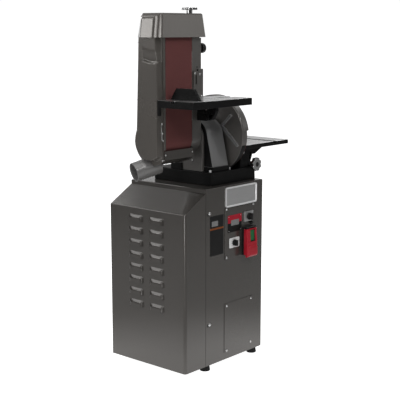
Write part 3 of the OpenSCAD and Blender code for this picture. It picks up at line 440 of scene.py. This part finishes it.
def pan_head(shape, place, axis, radius):
    """A domed screw head standing on a surface along an axis; a cross of thin bars on its crown takes the
    piece's second finish, the painted shade of a cross recess.
    """
    turn = Vector(axis).to_track_quat("Z", "Y").to_matrix().to_4x4()
    seat = Matrix.Translation(at(*place)) @ turn
    unit = radius / 1000
    crown = 0.68
    for low, high, wide, narrow in ((0, 0.3, 1, 1), (0.3, 0.55, 1, 0.8), (0.55, crown, 0.8, 0.45)):
        bmesh.ops.create_cone(
            shape, cap_ends=True, segments=20, radius1=wide * unit, radius2=narrow * unit,
            depth=(high - low) * unit, matrix=seat @ Matrix.Translation((0, 0, (low + high) / 2 * unit)),
        )
    # The cross recess is not cut: two flat bars lie on the crown, coloured as painted shade.
    lift = seat @ Matrix.Translation((0, 0, crown * unit))
    bar = Matrix.Diagonal((unit / 0.9, unit / 5, unit / 30, 1))
    for quarter in (0, math.pi / 2):
        place = lift @ Matrix.Rotation(quarter, 4, "Z") @ bar
        second_finish(bmesh.ops.create_cube(shape, size=1, matrix=place)["verts"])


def thicken(shape, outwards, thickness):
    """Turns an open skin's faces to that side and gives it a thickness in millimetres."""
    bmesh.ops.recalc_face_normals(shape, faces=shape.faces)
    if sum(face.normal.dot(outwards) * face.calc_area() for face in shape.faces) < 0:
        bmesh.ops.reverse_faces(shape, faces=shape.faces)
    bmesh.ops.solidify(shape, geom=shape.faces[:], thickness=thickness / 1000)


forwards, leftwards = Vector((0, -1, 0)), Vector((-1, 0, 0))
panel_y = -210
label_left, label_right = -97, -13
tablet("name_plate", (-2, front_y - 5, 673), (202, front_y, 755), 9, anodised, "aluminium", 5, bright_edge)
tablet("black_label", (label_left, -208.4, 485), (label_right, front_y, 649), 2, vinyl, "black_plastic")
tablet("label_field", (-87, -208.8, 606), (-48, -208.3, 627), 0.5, field_ink, "aluminium")
tablet("label_stripe", (label_left, -208.7, 592), (label_right, -208.3, 599), 0.5, orange_ink, "aluminium")
tablet("rating_plate", (13, -210.9, 566), (102, panel_y, 637), 2, two_tone, "aluminium")
tablet("rating_field", (33, -211.4, 593), (84, -210.8, 616), 1, field_ink, "aluminium")

dial_x, dial_z, dial_y = 55.5, 520, panel_y - 0.7
dial_hole, dial_half_width, dial_half_height = 7, 33, 21
dial_points, squareness = 64, 14
tick_count, tick_x, tick_radius, first_tick, tick_step = 9, 54.5, 17, -40, 32.5
shape = bmesh.new()
dial = []
for step in range(dial_points):
    turn = math.tau * (step + 0.5) / dial_points
    wide, tall = abs(math.cos(turn) / dial_half_width), abs(math.sin(turn) / dial_half_height)
    for out in (dial_hole, (wide ** squareness + tall ** squareness) ** (-1 / squareness)):
        place = at(dial_x + out * math.cos(turn), dial_y, dial_z + out * math.sin(turn))
        dial.append(shape.verts.new(place))
for step in range(dial_points):
    inner, outer = dial[2 * step: 2 * step + 2]
    following = (2 * step + 2) % len(dial)
    next_inner, next_outer = dial[following: following + 2]
    shape.faces.new((inner, next_inner, next_outer, outer))
thicken(shape, forwards, 0.6)
for step in range(tick_count):
    turn = math.radians(first_tick + tick_step * step)
    place = at(tick_x + tick_radius * math.cos(turn), -210.75, dial_z + tick_radius * math.sin(turn))
    tick = Matrix.Rotation(-turn, 4, "Y") @ Matrix.Diagonal((0.004, 0.0002, 0.0009, 1))
    second_finish(bmesh.ops.create_cube(shape, size=1, matrix=Matrix.Translation(place) @ tick)["verts"])
put("dial_plate", shape, [white_enamel, vinyl], "stand", "aluminium")
shape = bmesh.new()
for x, z in ((5, 665), (181, 665), (6, 463), (8, 258), (171, 258), (9, 65), (170, 65)):
    pan_head(shape, (x, panel_y, z), forwards, 4.6)
for x, z in ((19, 572), (96, 572), (19, 631), (96, 631)):
    pan_head(shape, (x, -210.9, z), forwards, 2)
# Each catch is a screw with a flat near-black bar beside it, painted shade of the catch's opening.
for z in (663, 202):
    pan_head(shape, (-100, front_y, z), forwards, 6.5)
    second_finish(box(shape, (-112, front_y - 1, z - 9), (-107, front_y, z + 3)))
put("front_screws", shape, [screw_steel, shadow], "stand", "bright_steel")

# Four feet of black rubber, moulded as cones around a steel stud.
# The studs are screwed into the cabinet's floor, and the rubber is dull and lightly pitted.
rubber = Finish("black_rubber", roughness=0.75, specular_ior_level=0.15)
rubber.coat(
    base_color=rubber.mix(rubber.noise(30, 3), grey(0.008), grey(0.02)),
    normal=rubber.bump(rubber.noise(1.5, 2), 0.05),
)
for corner in ("front_left", "front_right", "back_left", "back_right"):
    dress("foot_" + corner, 2.5, [rubber], segments=3, swell=1.2)

# The base and the small brackets on it: hollow grey iron from a sand mould, brushed with black enamel.
# The skin keeps a trace of the sand's grain.
iron_enamel = Finish("black_iron", specular_ior_level=0.1)
sand = iron_enamel.noise(2.2, 3, 0.6)
iron_enamel.coat(
    base_color=iron_enamel.mix(iron_enamel.noise(60, 3), grey(0.004), grey(0.008)),
    roughness=iron_enamel.noise(40, 3) * 0.16 + 0.34,
    normal=iron_enamel.bump(sand, 0.22, 0.7),
)
dress("base_casting", 3.5, [iron_enamel], segments=3)
dress("headstock", 1.5, [iron_enamel])
dress("belt_lock_stud", 0.6, [iron_enamel])
dress("disc_bracket", 1.2, [iron_enamel])

# Bolts, pins, shafts and bearings: turned or rolled steel, left bare and lightly oiled.
# The mitre bar, the platen, and the idler drum with its carrier are bare steel too.
bare_steel = Finish("bare_steel", metallic=1.0)
turned = bare_steel.noise(1.2, 2)
bare_steel.coat(
    base_color=bare_steel.mix(bare_steel.noise(25, 3), grey(0.42), grey(0.56)),
    roughness=turned * 0.18 + 0.2,
    normal=bare_steel.bump(turned, 0.02),
)
for node in ("base_bolts", "disc_table_pins", "belt_table_pin", "disc_lock_stud", "mitre_bar"):
    dress(node, 0.6, [bare_steel])
for node in (
    "spindle", "bearing_left", "bearing_right", "motor_shaft", "platen", "idler_drum", "idler_carrier",
):
    dress(node, 0.4, [bare_steel])

# The drive inside the guard and the cabinet: V pulleys of black iron, a rubber belt, a painted motor.
# Only their edges show through the gaps around the spindle.
motor_enamel = spray_enamel("motor_enamel", grey(0.03), grey(0.045), 0.45)
dress("motor", 0, [motor_enamel])
for node in ("spindle_pulley", "motor_pulley", "idler_yoke"):
    dress(node, 0.5, [iron_enamel])
for node in ("drive_belt", "drive_drum"):
    dress(node, 0, [rubber])

# The arm, its pivot upright and the two guards: light castings and rolled sheet in grey enamel.
# The pulley guard and the disc guard's ribs take a lighter grey as painted light; the disc guard's rim
# below the table, the pulley guard's left end and the table bracket's ears are black as painted shade; a
# black pad stands by the pivot.
cast_enamel = spray_enamel("cast_grey_enamel", grey(0.078, 0.06), grey(0.104, 0.06), 0.36)
cast_enamel.coat(normal=cast_enamel.bump(cast_enamel.noise(2.5, 3, 0.6), 0.16, 0.6))
dress("pivot_bracket", 2, [cast_enamel])
shape = bmesh.new()
box(shape, (-46, -8, 815), (-4, 52, 846))
round_edges(shape, sharp_edges(shape), 3, 3)
put("base_pad", shape, [iron_enamel], "stand", slots["base_casting"])
dress("arm", 1.5, [cast_enamel])
# The guard paint is kept much lighter than the arm's grey, as painted light on the pulley guard's front
# strip and on the disc guard's ribs.
guard_enamel_painted_light = spray_enamel("guard_enamel_painted_light", grey(0.14), grey(0.17), 0.34)
# The pulley guard's left end face, in the narrow gap by the pivot bracket, takes black enamel as painted
# shade.
dress("pulley_guard", 3.5, [guard_enamel_painted_light, iron_enamel], lambda face: int(face.normal.x < -0.9), 4)
table_top = at(0, 0, 917).z
guard_back = at(100, 0, 0).x
rib_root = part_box("disc_guard")[0].x + 0.008


def guard_coat_painted_light(face):
    """Painted highlight in the lighter guard paint on the ribs, painted shade in black on the rim below
    the table, and the guard's own grey elsewhere.
    """
    place = face.calc_center_median()
    if place.x < rib_root:
        return 2
    return int(place.z < table_top and place.x > guard_back)


def bracket_coat_painted_shade(face):
    """Black enamel on what stands out in front of the arm, under the belt table, as painted shade of the
    table.
    """
    return int(face.calc_center_median().y < arm_front)


arm_front = at(0, -117.2, 0).y
dress("disc_guard", 2, [cast_enamel, iron_enamel, guard_enamel_painted_light], guard_coat_painted_light, 3)
dress("table_bracket", 1, [cast_enamel, iron_enamel], bracket_coat_painted_shade)

# The slotted plate on the arm that the belt table's bracket is bolted to: flat steel in the arm's grey.
# Three screws hold it, and above it a hole in the arm is drawn as a thin near-black disc, painted shade of
# the hole.
plate_front, plate_back = -118.2, -110.8
plate_left, slot_left, slot_right, plate_right = -91.5, -81, -74, -36.5
plate_foot, slot_foot, slot_head, plate_head = 1100, 1172, 1210, 1225
hole_x, hole_z, hole_radius, hole_shade_depth = -64.5, 1240, 3.4, 0.6
shape = bmesh.new()
for left, right, foot, head in (
    (plate_left, slot_left, plate_foot, plate_head), (slot_right, plate_right, plate_foot, plate_head),
    (slot_left, slot_right, slot_head, plate_head), (slot_left, slot_right, plate_foot, slot_foot),
):
    box(shape, (left, plate_front, foot), (right, plate_back, head))
bmesh.ops.remove_doubles(shape, verts=shape.verts, dist=1e-6)
put("bracket_plate", shape, [cast_enamel], "belt_arm", "grey_paint")
shape = bmesh.new()
for x, z, radius in ((-85, 1216, 3.5), (-56, 1212, 4.5), (-44, 1125, 3.5)):
    pan_head(shape, (x, plate_front, z), forwards, radius)
put("bracket_screws", shape, [screw_steel, shadow], "belt_arm", "bright_steel")
# A thin near-black disc on the arm's face: painted shade of the hole, not a cut.
shape = bmesh.new()
facing_front = Matrix.Rotation(math.pi / 2, 4, "X")
bmesh.ops.create_cone(
    shape, cap_ends=True, segments=20, radius1=hole_radius / 1000, radius2=hole_radius / 1000,
    depth=hole_shade_depth / 1000, matrix=Matrix.Translation(at(hole_x, plate_back, hole_z)) @ facing_front,
)
put("arm_hole_painted_shade", shape, [shadow], "belt_arm", "black_plastic")

# The disc: a turned iron plate, enamelled black, with a round sheet of abrasive stuck to its face.
# The sheet is brown grit in resin on a cloth back.
dress("sanding_disc", 1, [iron_enamel])


def abrasive(name, dark, light):
    """Grit in brown resin on cloth: sharp grains, and drifts where the coat lies thicker."""
    grit = Finish(name, roughness=0.85)
    cells = grit.node("TexVoronoi", {}, {"Vector": grit.place, "Scale": 1000 / 0.9}, "Distance")
    share = cells * 0.5 + grit.noise(90, 3) * 0.35
    grit.coat(base_color=grit.mix(share, dark, light), normal=grit.bump(cells, 0.3, 0.8))
    return grit


brown_grit = abrasive("brown_grit", (0.055, 0.014, 0.012, 1), (0.15, 0.045, 0.04, 1))
dress("abrasive_disc", 0, [brown_grit])

# The tables: cast iron, enamelled black, each on its own bracket.
# Their tops are ground bright in fine straight lines and oiled.
ground_iron = Finish("ground_iron", metallic=1.0)
lines = ground_iron.noise(0.9, 3, 0.6, (0.02, 1, 1))
ground_iron.coat(
    base_color=ground_iron.mix(ground_iron.noise(70, 4), grey(0.6), grey(0.74)),
    roughness=lines * 0.16 + ground_iron.noise(50, 3) * 0.1 + 0.16,
    normal=ground_iron.bump(lines, 0.02),
)


def ground_above(level):
    """Picks the ground finish for level faces at that height."""
    height = at(0, 0, level).z - 1e-4
    return lambda face: int(face.normal.z > 0.9 and face.calc_center_median().z > height)


dress("belt_table", 1.2, [iron_enamel, ground_iron], ground_above(1121))
dress("disc_table", 1.2, [iron_enamel, ground_iron], ground_above(913))

# The belt: the same kind of abrasive on a cloth loop, joined without end.
# It runs over the idler drum at the top and the drive drum on the spindle.
belt_grit = abrasive("belt_grit", (0.06, 0.014, 0.013, 1), (0.15, 0.038, 0.036, 1))
dress("sanding_belt", 0, [belt_grit])

# The cover on the belt's left: a flat flange with two panels pressed out of it, held by a toggle latch.
# The lower panel follows the belt down to a round end, and the upper one runs up under the hood.
# The head's pressings take a lighter copy of the cabinet's warm grey: painted light for how the cover and
# hood are lit.
head_enamel_painted_light = spray_enamel("head_enamel_painted_light", grey(0.072, 0.1), grey(0.096, 0.1), 0.25)
spindle_y, spindle_z = -53, 954
cover_out, cover_front, cover_width = -265, -112.8, 155
cover_foot, cover_top, lean_foot = 858, 1372, 998
panel_front, panel_width, panel_rise, valley = -106, 85, 24, 9
panel_radius, flange_radius = 78, 94


def ease(t):
    """A smooth step from 0 to 1."""
    t = min(max(t, 0), 1)
    return t * t * (3 - 2 * t)


def press_depth(y, z):
    """How far the side cover stands out of its flange at that place, in millimetres."""
    across = (y - panel_front) / panel_width
    smile = 1269 - 21.8 * across + 31.8 * across * across
    lean = min(max((z - lean_foot) / 268, 0), 1)
    round_end = panel_radius - math.hypot(y - spindle_y, z - spindle_z)
    back = round_end if z < spindle_z else max(2 - 21 * lean - y, round_end)
    if z < smile:
        crest = panel_rise - valley * (1 - ease((smile - z) / 7))
        return crest * ease(min((y - panel_front + 1) / 6, back / 7))
    crest = panel_rise - valley * (1 - ease((z - smile) / 48))
    return crest * ease(min((y - panel_front) / 13, (-18 - y) / 9))


def inside_flange(y, z):
    """How far a place lies inside the flange's edge, in millimetres."""
    round_end = flange_radius - math.hypot(y - spindle_y, z - spindle_z)
    lean = min(max((z - lean_foot) / (cover_top - lean_foot), 0), 1)
    return min(y - cover_front, max(round_end, 31 - 15 * lean - y if z > spindle_z else round_end))


shape = bmesh.new()
bmesh.ops.create_grid(shape, x_segments=104, y_segments=258, size=0.5)
for vert in shape.verts:
    y = cover_front + (vert.co.x + 0.5) * cover_width
    z = cover_foot + (vert.co.y + 0.5) * (cover_top - cover_foot)
    vert.co = (y, z, 0)
beyond = [vert for vert in shape.verts if inside_flange(vert.co.x, vert.co.y) < -1]
bmesh.ops.delete(shape, geom=beyond, context="VERTS")
for vert in shape.verts:
    y, z, _ = vert.co
    off = inside_flange(y, z)
    if off < 0.6 and y > cover_front + 0.8:
        slope = Vector((inside_flange(y + 0.1, z) - off, inside_flange(y, z + 0.1) - off)) / 0.1
        y, z = y - off * slope.x, z - off * slope.y
    vert.co = at(cover_out - press_depth(y, z), y, z)
thicken(shape, leftwards, 2)
box(shape, (cover_out, -113.6, 924), (-252, -111.4, cover_top))
put("side_cover_shell", shape, [head_enamel_painted_light], "belt_arm", "grey_paint", "side_cover")


def wire(shape, points, radius, sides=10):
    """A round wire bent through those places."""
    rings = []
    places = [at(*point) for point in points]
    turns = [math.tau * k / sides for k in range(sides)]
    for i, place in enumerate(places):
        along = (places[min(i + 1, len(places) - 1)] - places[max(i - 1, 0)]).normalized()
        side = along.cross(Vector((1, 0, 0))).normalized()
        over = along.cross(side)
        rings.append([
            shape.verts.new(place + (side * math.cos(turn) + over * math.sin(turn)) * radius / 1000)
            for turn in turns
        ])
    for first, second in zip(rings, rings[1:]):
        for k in range(sides):
            shape.faces.new((first[k], first[(k + 1) % sides], second[(k + 1) % sides], second[k]))
    for ring in (rings[0], rings[-1]):
        shape.faces.new(ring)


hook_x, hook_y, hook_head, hook_bend = cover_out - 3, -104, 1027, 966
shape = bmesh.new()
hook = [
    (hook_x, hook_y - 4 * ease((hook_head - z) / 50), z) for z in range(hook_head, hook_bend, -5)
]
for turn in (0.4 * step for step in range(1, 8)):
    curl = 5 * (1 - math.cos(turn)) / 2
    hook.append((hook_x + 5 * math.sin(turn), hook_y - 4 - curl, hook_bend - 6 * math.sin(turn)))
wire(shape, hook, 1.8)
for y, z, radius in ((hook_y, hook_head, 5), (hook_y - 4, 990, 4), (hook_y - 4, 884, 3.5)):
    pan_head(shape, (cover_out, y, z), leftwards, radius)
bmesh.ops.recalc_face_normals(shape, faces=shape.faces)
put("side_cover_latch", shape, [screw_steel, shadow], "belt_arm", "bright_steel")

# The back cover, the trough under the drum and the dust port: rolled sheet, seam welded and sprayed.
# Four small screws hold the front of the trough.
trough_front = -116.8
dress("back_cover", 0.6, [grey_enamel])
dress("dust_shroud", 0.6, [grey_enamel])
shape = bmesh.new()
for x in (-257, -100):
    for z in (871, 905):
        pan_head(shape, (x, trough_front, z), forwards, 3.2)
put("trough_screws", shape, [screw_steel, shadow], "belt_arm", "bright_steel")
# The port's paint is much lighter than the other greys, as a painted sheen in place of the highlights
# along the tube.
port_enamel_painted_sheen = spray_enamel("port_enamel_painted_sheen", grey(0.17, 0.02), grey(0.21, 0.02), 0.26)
dress("dust_port", 0.6, [port_enamel_painted_sheen])

# The hood over the idler: one deep pressing, flared downwards, its back left corner swept round.
# A stepped panel is pressed out of its left side; the edges are rolled and catch the light.
hood_left, hood_right, hood_front, hood_back = -292, -35, -132.8, 23
hood_foot, hood_break, hood_top, top_roll = 1358, 1420, 1450, 6
hood_flare, front_flare, break_share = 11, 8, 0.674
small_corner, right_corner, corner_steps, side_steps = 5, 14, 16, 72


def hood_ring(z, inset):
    """The hood's outline at one height, drawn in by some millimetres."""
    up = (z - hood_foot) / (hood_top - hood_foot)
    left, right = hood_left + hood_flare * up + inset, hood_right - hood_flare * up - inset
    front = hood_front + front_flare * up + inset
    if z < hood_break:
        back, wide = hood_back - 10 * up / break_share, 52 - 6 * up / break_share
    else:
        over = (z - hood_break) / (hood_top - hood_break)
        back, wide = hood_back - 10 - 26 * over, 46 - 34 * over
    ring = []
    for x, y, sign_x, sign_y, radius in (
        (left, front, -1, -1, small_corner), (right, front, 1, -1, small_corner),
        (right, back - inset, 1, 1, right_corner), (left, back - inset, -1, 1, wide),
    ):
        radius = max(radius - inset, 1)
        steps = [math.pi / 2 * k / corner_steps for k in range(corner_steps + 1)]
        if sign_x != sign_y:
            steps.reverse()
        for turn in steps:
            in_x, in_y = radius * (1 - math.cos(turn)), radius * (1 - math.sin(turn))
            ring.append((x - sign_x * in_x, y - sign_y * in_y))
    end_y = ring[-1][1]
    side = end_y - ring[0][1]
    return ring + [(left, end_y - side * k / side_steps) for k in range(1, side_steps)]


def hood_rise(y, z):
    """How far the two steps of the left panel stand out, in millimetres."""
    rise = 6 * ease((y + 119) / 12) * ease((-6 - y) / 16) * ease((1447 - z) / 9)
    return rise + 6 * ease((y + 99) / 9) * ease((-18 - y) / 14) * ease((1437 - z) / 8)


shape = bmesh.new()
roll_foot = hood_top - top_roll
levels = [(hood_foot + (roll_foot - hood_foot) * k / 44, 0) for k in range(45)]
for turn in (math.pi / 2 * k / 6 for k in range(1, 7)):
    levels.append((roll_foot + top_roll * math.sin(turn), top_roll * (1 - math.cos(turn))))
rings = []
for z, inset in levels:
    rings.append([
        shape.verts.new(at(x - (hood_rise(y, z) if x < -240 else 0), y, z)) for x, y in hood_ring(z, inset)
    ])
for low, high in zip(rings, rings[1:]):
    for k in range(len(low)):
        shape.faces.new((low[k], low[k - 1], high[k - 1], high[k]))
shape.faces.new(rings[-1])
thicken(shape, Vector((0, 0, 1)), 1.8)
put("hood_shell", shape, [head_enamel_painted_light], "belt_arm", "grey_paint", "top_hood")

# Hand wheels and lock knobs: zinc castings, chromed; the disc table's has a black disc on its face as
# painted shade of its recessed centre.
# The tracking, mitre and belt table knobs are black phenolic, and the mitre's head is black iron.
chrome = Finish("chrome", metallic=1.0)
chrome.coat(
    base_color=chrome.mix(chrome.noise(15, 3), grey(0.42), grey(0.52)),
    roughness=chrome.noise(6, 3) * 0.12 + 0.1,
)
phenolic = Finish("black_phenolic", coat_weight=0.15, coat_roughness=0.12, specular_ior_level=0.2)
phenolic.coat(
    base_color=phenolic.mix(phenolic.noise(8, 3), grey(0.005), grey(0.01)),
    roughness=phenolic.noise(12, 2) * 0.15 + 0.25,
)
dress("tension_knob", 1.2, [chrome], segments=3, swell=1.08)
dress("disc_lock_knob", 1.2, [chrome], segments=3)
dress("belt_lock_knob", 1.2, [phenolic], segments=3)
dress("tracking_knob", 3, [phenolic], segments=3)
# A thin black disc on the lock knob's face: painted shade of its recessed centre.
hub_shade_radius, hub_shade_face, hub_shade_depth = 11.5, 9.5, 2
low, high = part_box("disc_lock_knob")
hub = Vector(((low.x + high.x) / 2, low.y, (low.z + high.z) / 2))
shape = bmesh.new()
bmesh.ops.create_cone(
    shape, cap_ends=True, segments=32, radius1=hub_shade_radius / 1000, radius2=hub_shade_face / 1000,
    depth=hub_shade_depth / 1000, matrix=Matrix.Translation(hub) @ facing_front,
)
put("lock_knob_hub_shade", shape, [phenolic], frame["nodes"]["disc_lock_knob"]["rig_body"], "black_plastic")
dress("mitre_head", 1.5, [iron_enamel])
dress("mitre_knob", 2, [phenolic], segments=3)


# The switch: a black moulded housing with a red stop flap hung in front of a green start button.
# The selector and the speed knob beside it are moulded too, and so is the gland at the cabinet's back.
def moulded(name, dark, light):
    """Injection-moulded plastic with a fine spark-eroded grain."""
    plastic = Finish(name, coat_weight=0.08, coat_roughness=0.2, specular_ior_level=0.25)
    plastic.coat(
        base_color=plastic.mix(plastic.noise(18, 3), dark, light),
        roughness=plastic.noise(10, 2) * 0.12 + 0.32,
        normal=plastic.bump(plastic.noise(0.7, 2), 0.03),
    )
    return plastic


red_plastic = moulded("red_plastic", (0.3, 0.005, 0.014, 1), (0.38, 0.008, 0.02, 1))
green_plastic = moulded("green_plastic", (0.004, 0.09, 0.025, 1), (0.008, 0.14, 0.04, 1))
black_plastic = moulded("black_plastic", grey(0.006), grey(0.012))
dress("switch_box", 1.5, [black_plastic], segments=3)
flap_x, flap_half, flap_foot, flap_head = 136.5, 34, 451, 570
flap_face, flap_round, side_back, foot_back = -240, 5, -224, -233
window_x, window_half, window_foot, window_head = 0.059, 0.235, 0.04, 0.47
shape = bmesh.new()
bmesh.ops.create_grid(shape, x_segments=66, y_segments=119, size=0.5)
window = []
for face in shape.faces:
    middle = face.calc_center_median()
    if abs(middle.x - window_x) < window_half and window_foot < middle.y < window_head:
        window.append(face)
bmesh.ops.delete(shape, geom=window, context="FACES")
left_and_foot = [
    edge for edge in shape.edges
    if edge.is_boundary and min(max(v.co.x for v in edge.verts), max(v.co.y for v in edge.verts)) < -0.499
]
fold = set(new_verts(bmesh.ops.extrude_edge_only(shape, edges=left_and_foot)))
for vert in shape.verts:
    x = vert.co.x * 2 * flap_half
    z = (flap_foot + flap_head) / 2 + vert.co.y * (flap_head - flap_foot)
    edge = min(flap_half - abs(x), z - flap_foot, flap_head - z, flap_round)
    pad = ease((502 - z) / 12) * ease((z - flap_foot) / 10) * ease((flap_half - 3 - abs(x)) / 5)
    bulge = 4 * ease((566 - z) / 70) + 5 * pad
    out = flap_face - bulge + flap_round - math.sqrt(flap_round ** 2 - (flap_round - edge) ** 2)
    if vert in fold:
        out = side_back if z > flap_foot + 9 else foot_back
    vert.co = at(flap_x + x, out, z)
thicken(shape, forwards, 3)
flap_body = frame["nodes"]["stop_paddle"]["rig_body"]
put("stop_paddle_flap", shape, [red_plastic], flap_body, slots["stop_paddle"], "stop_paddle")
dress("start_button", 1.5, [green_plastic], segments=3)
dress("selector_plate", 1, [anodised])
dress("selector_knob", 1, [black_plastic])
dress("speed_knob", 1, [black_plastic])
dress("reset_button", 1, [black_plastic])
dress("cord_gland", 0.8, [black_plastic])
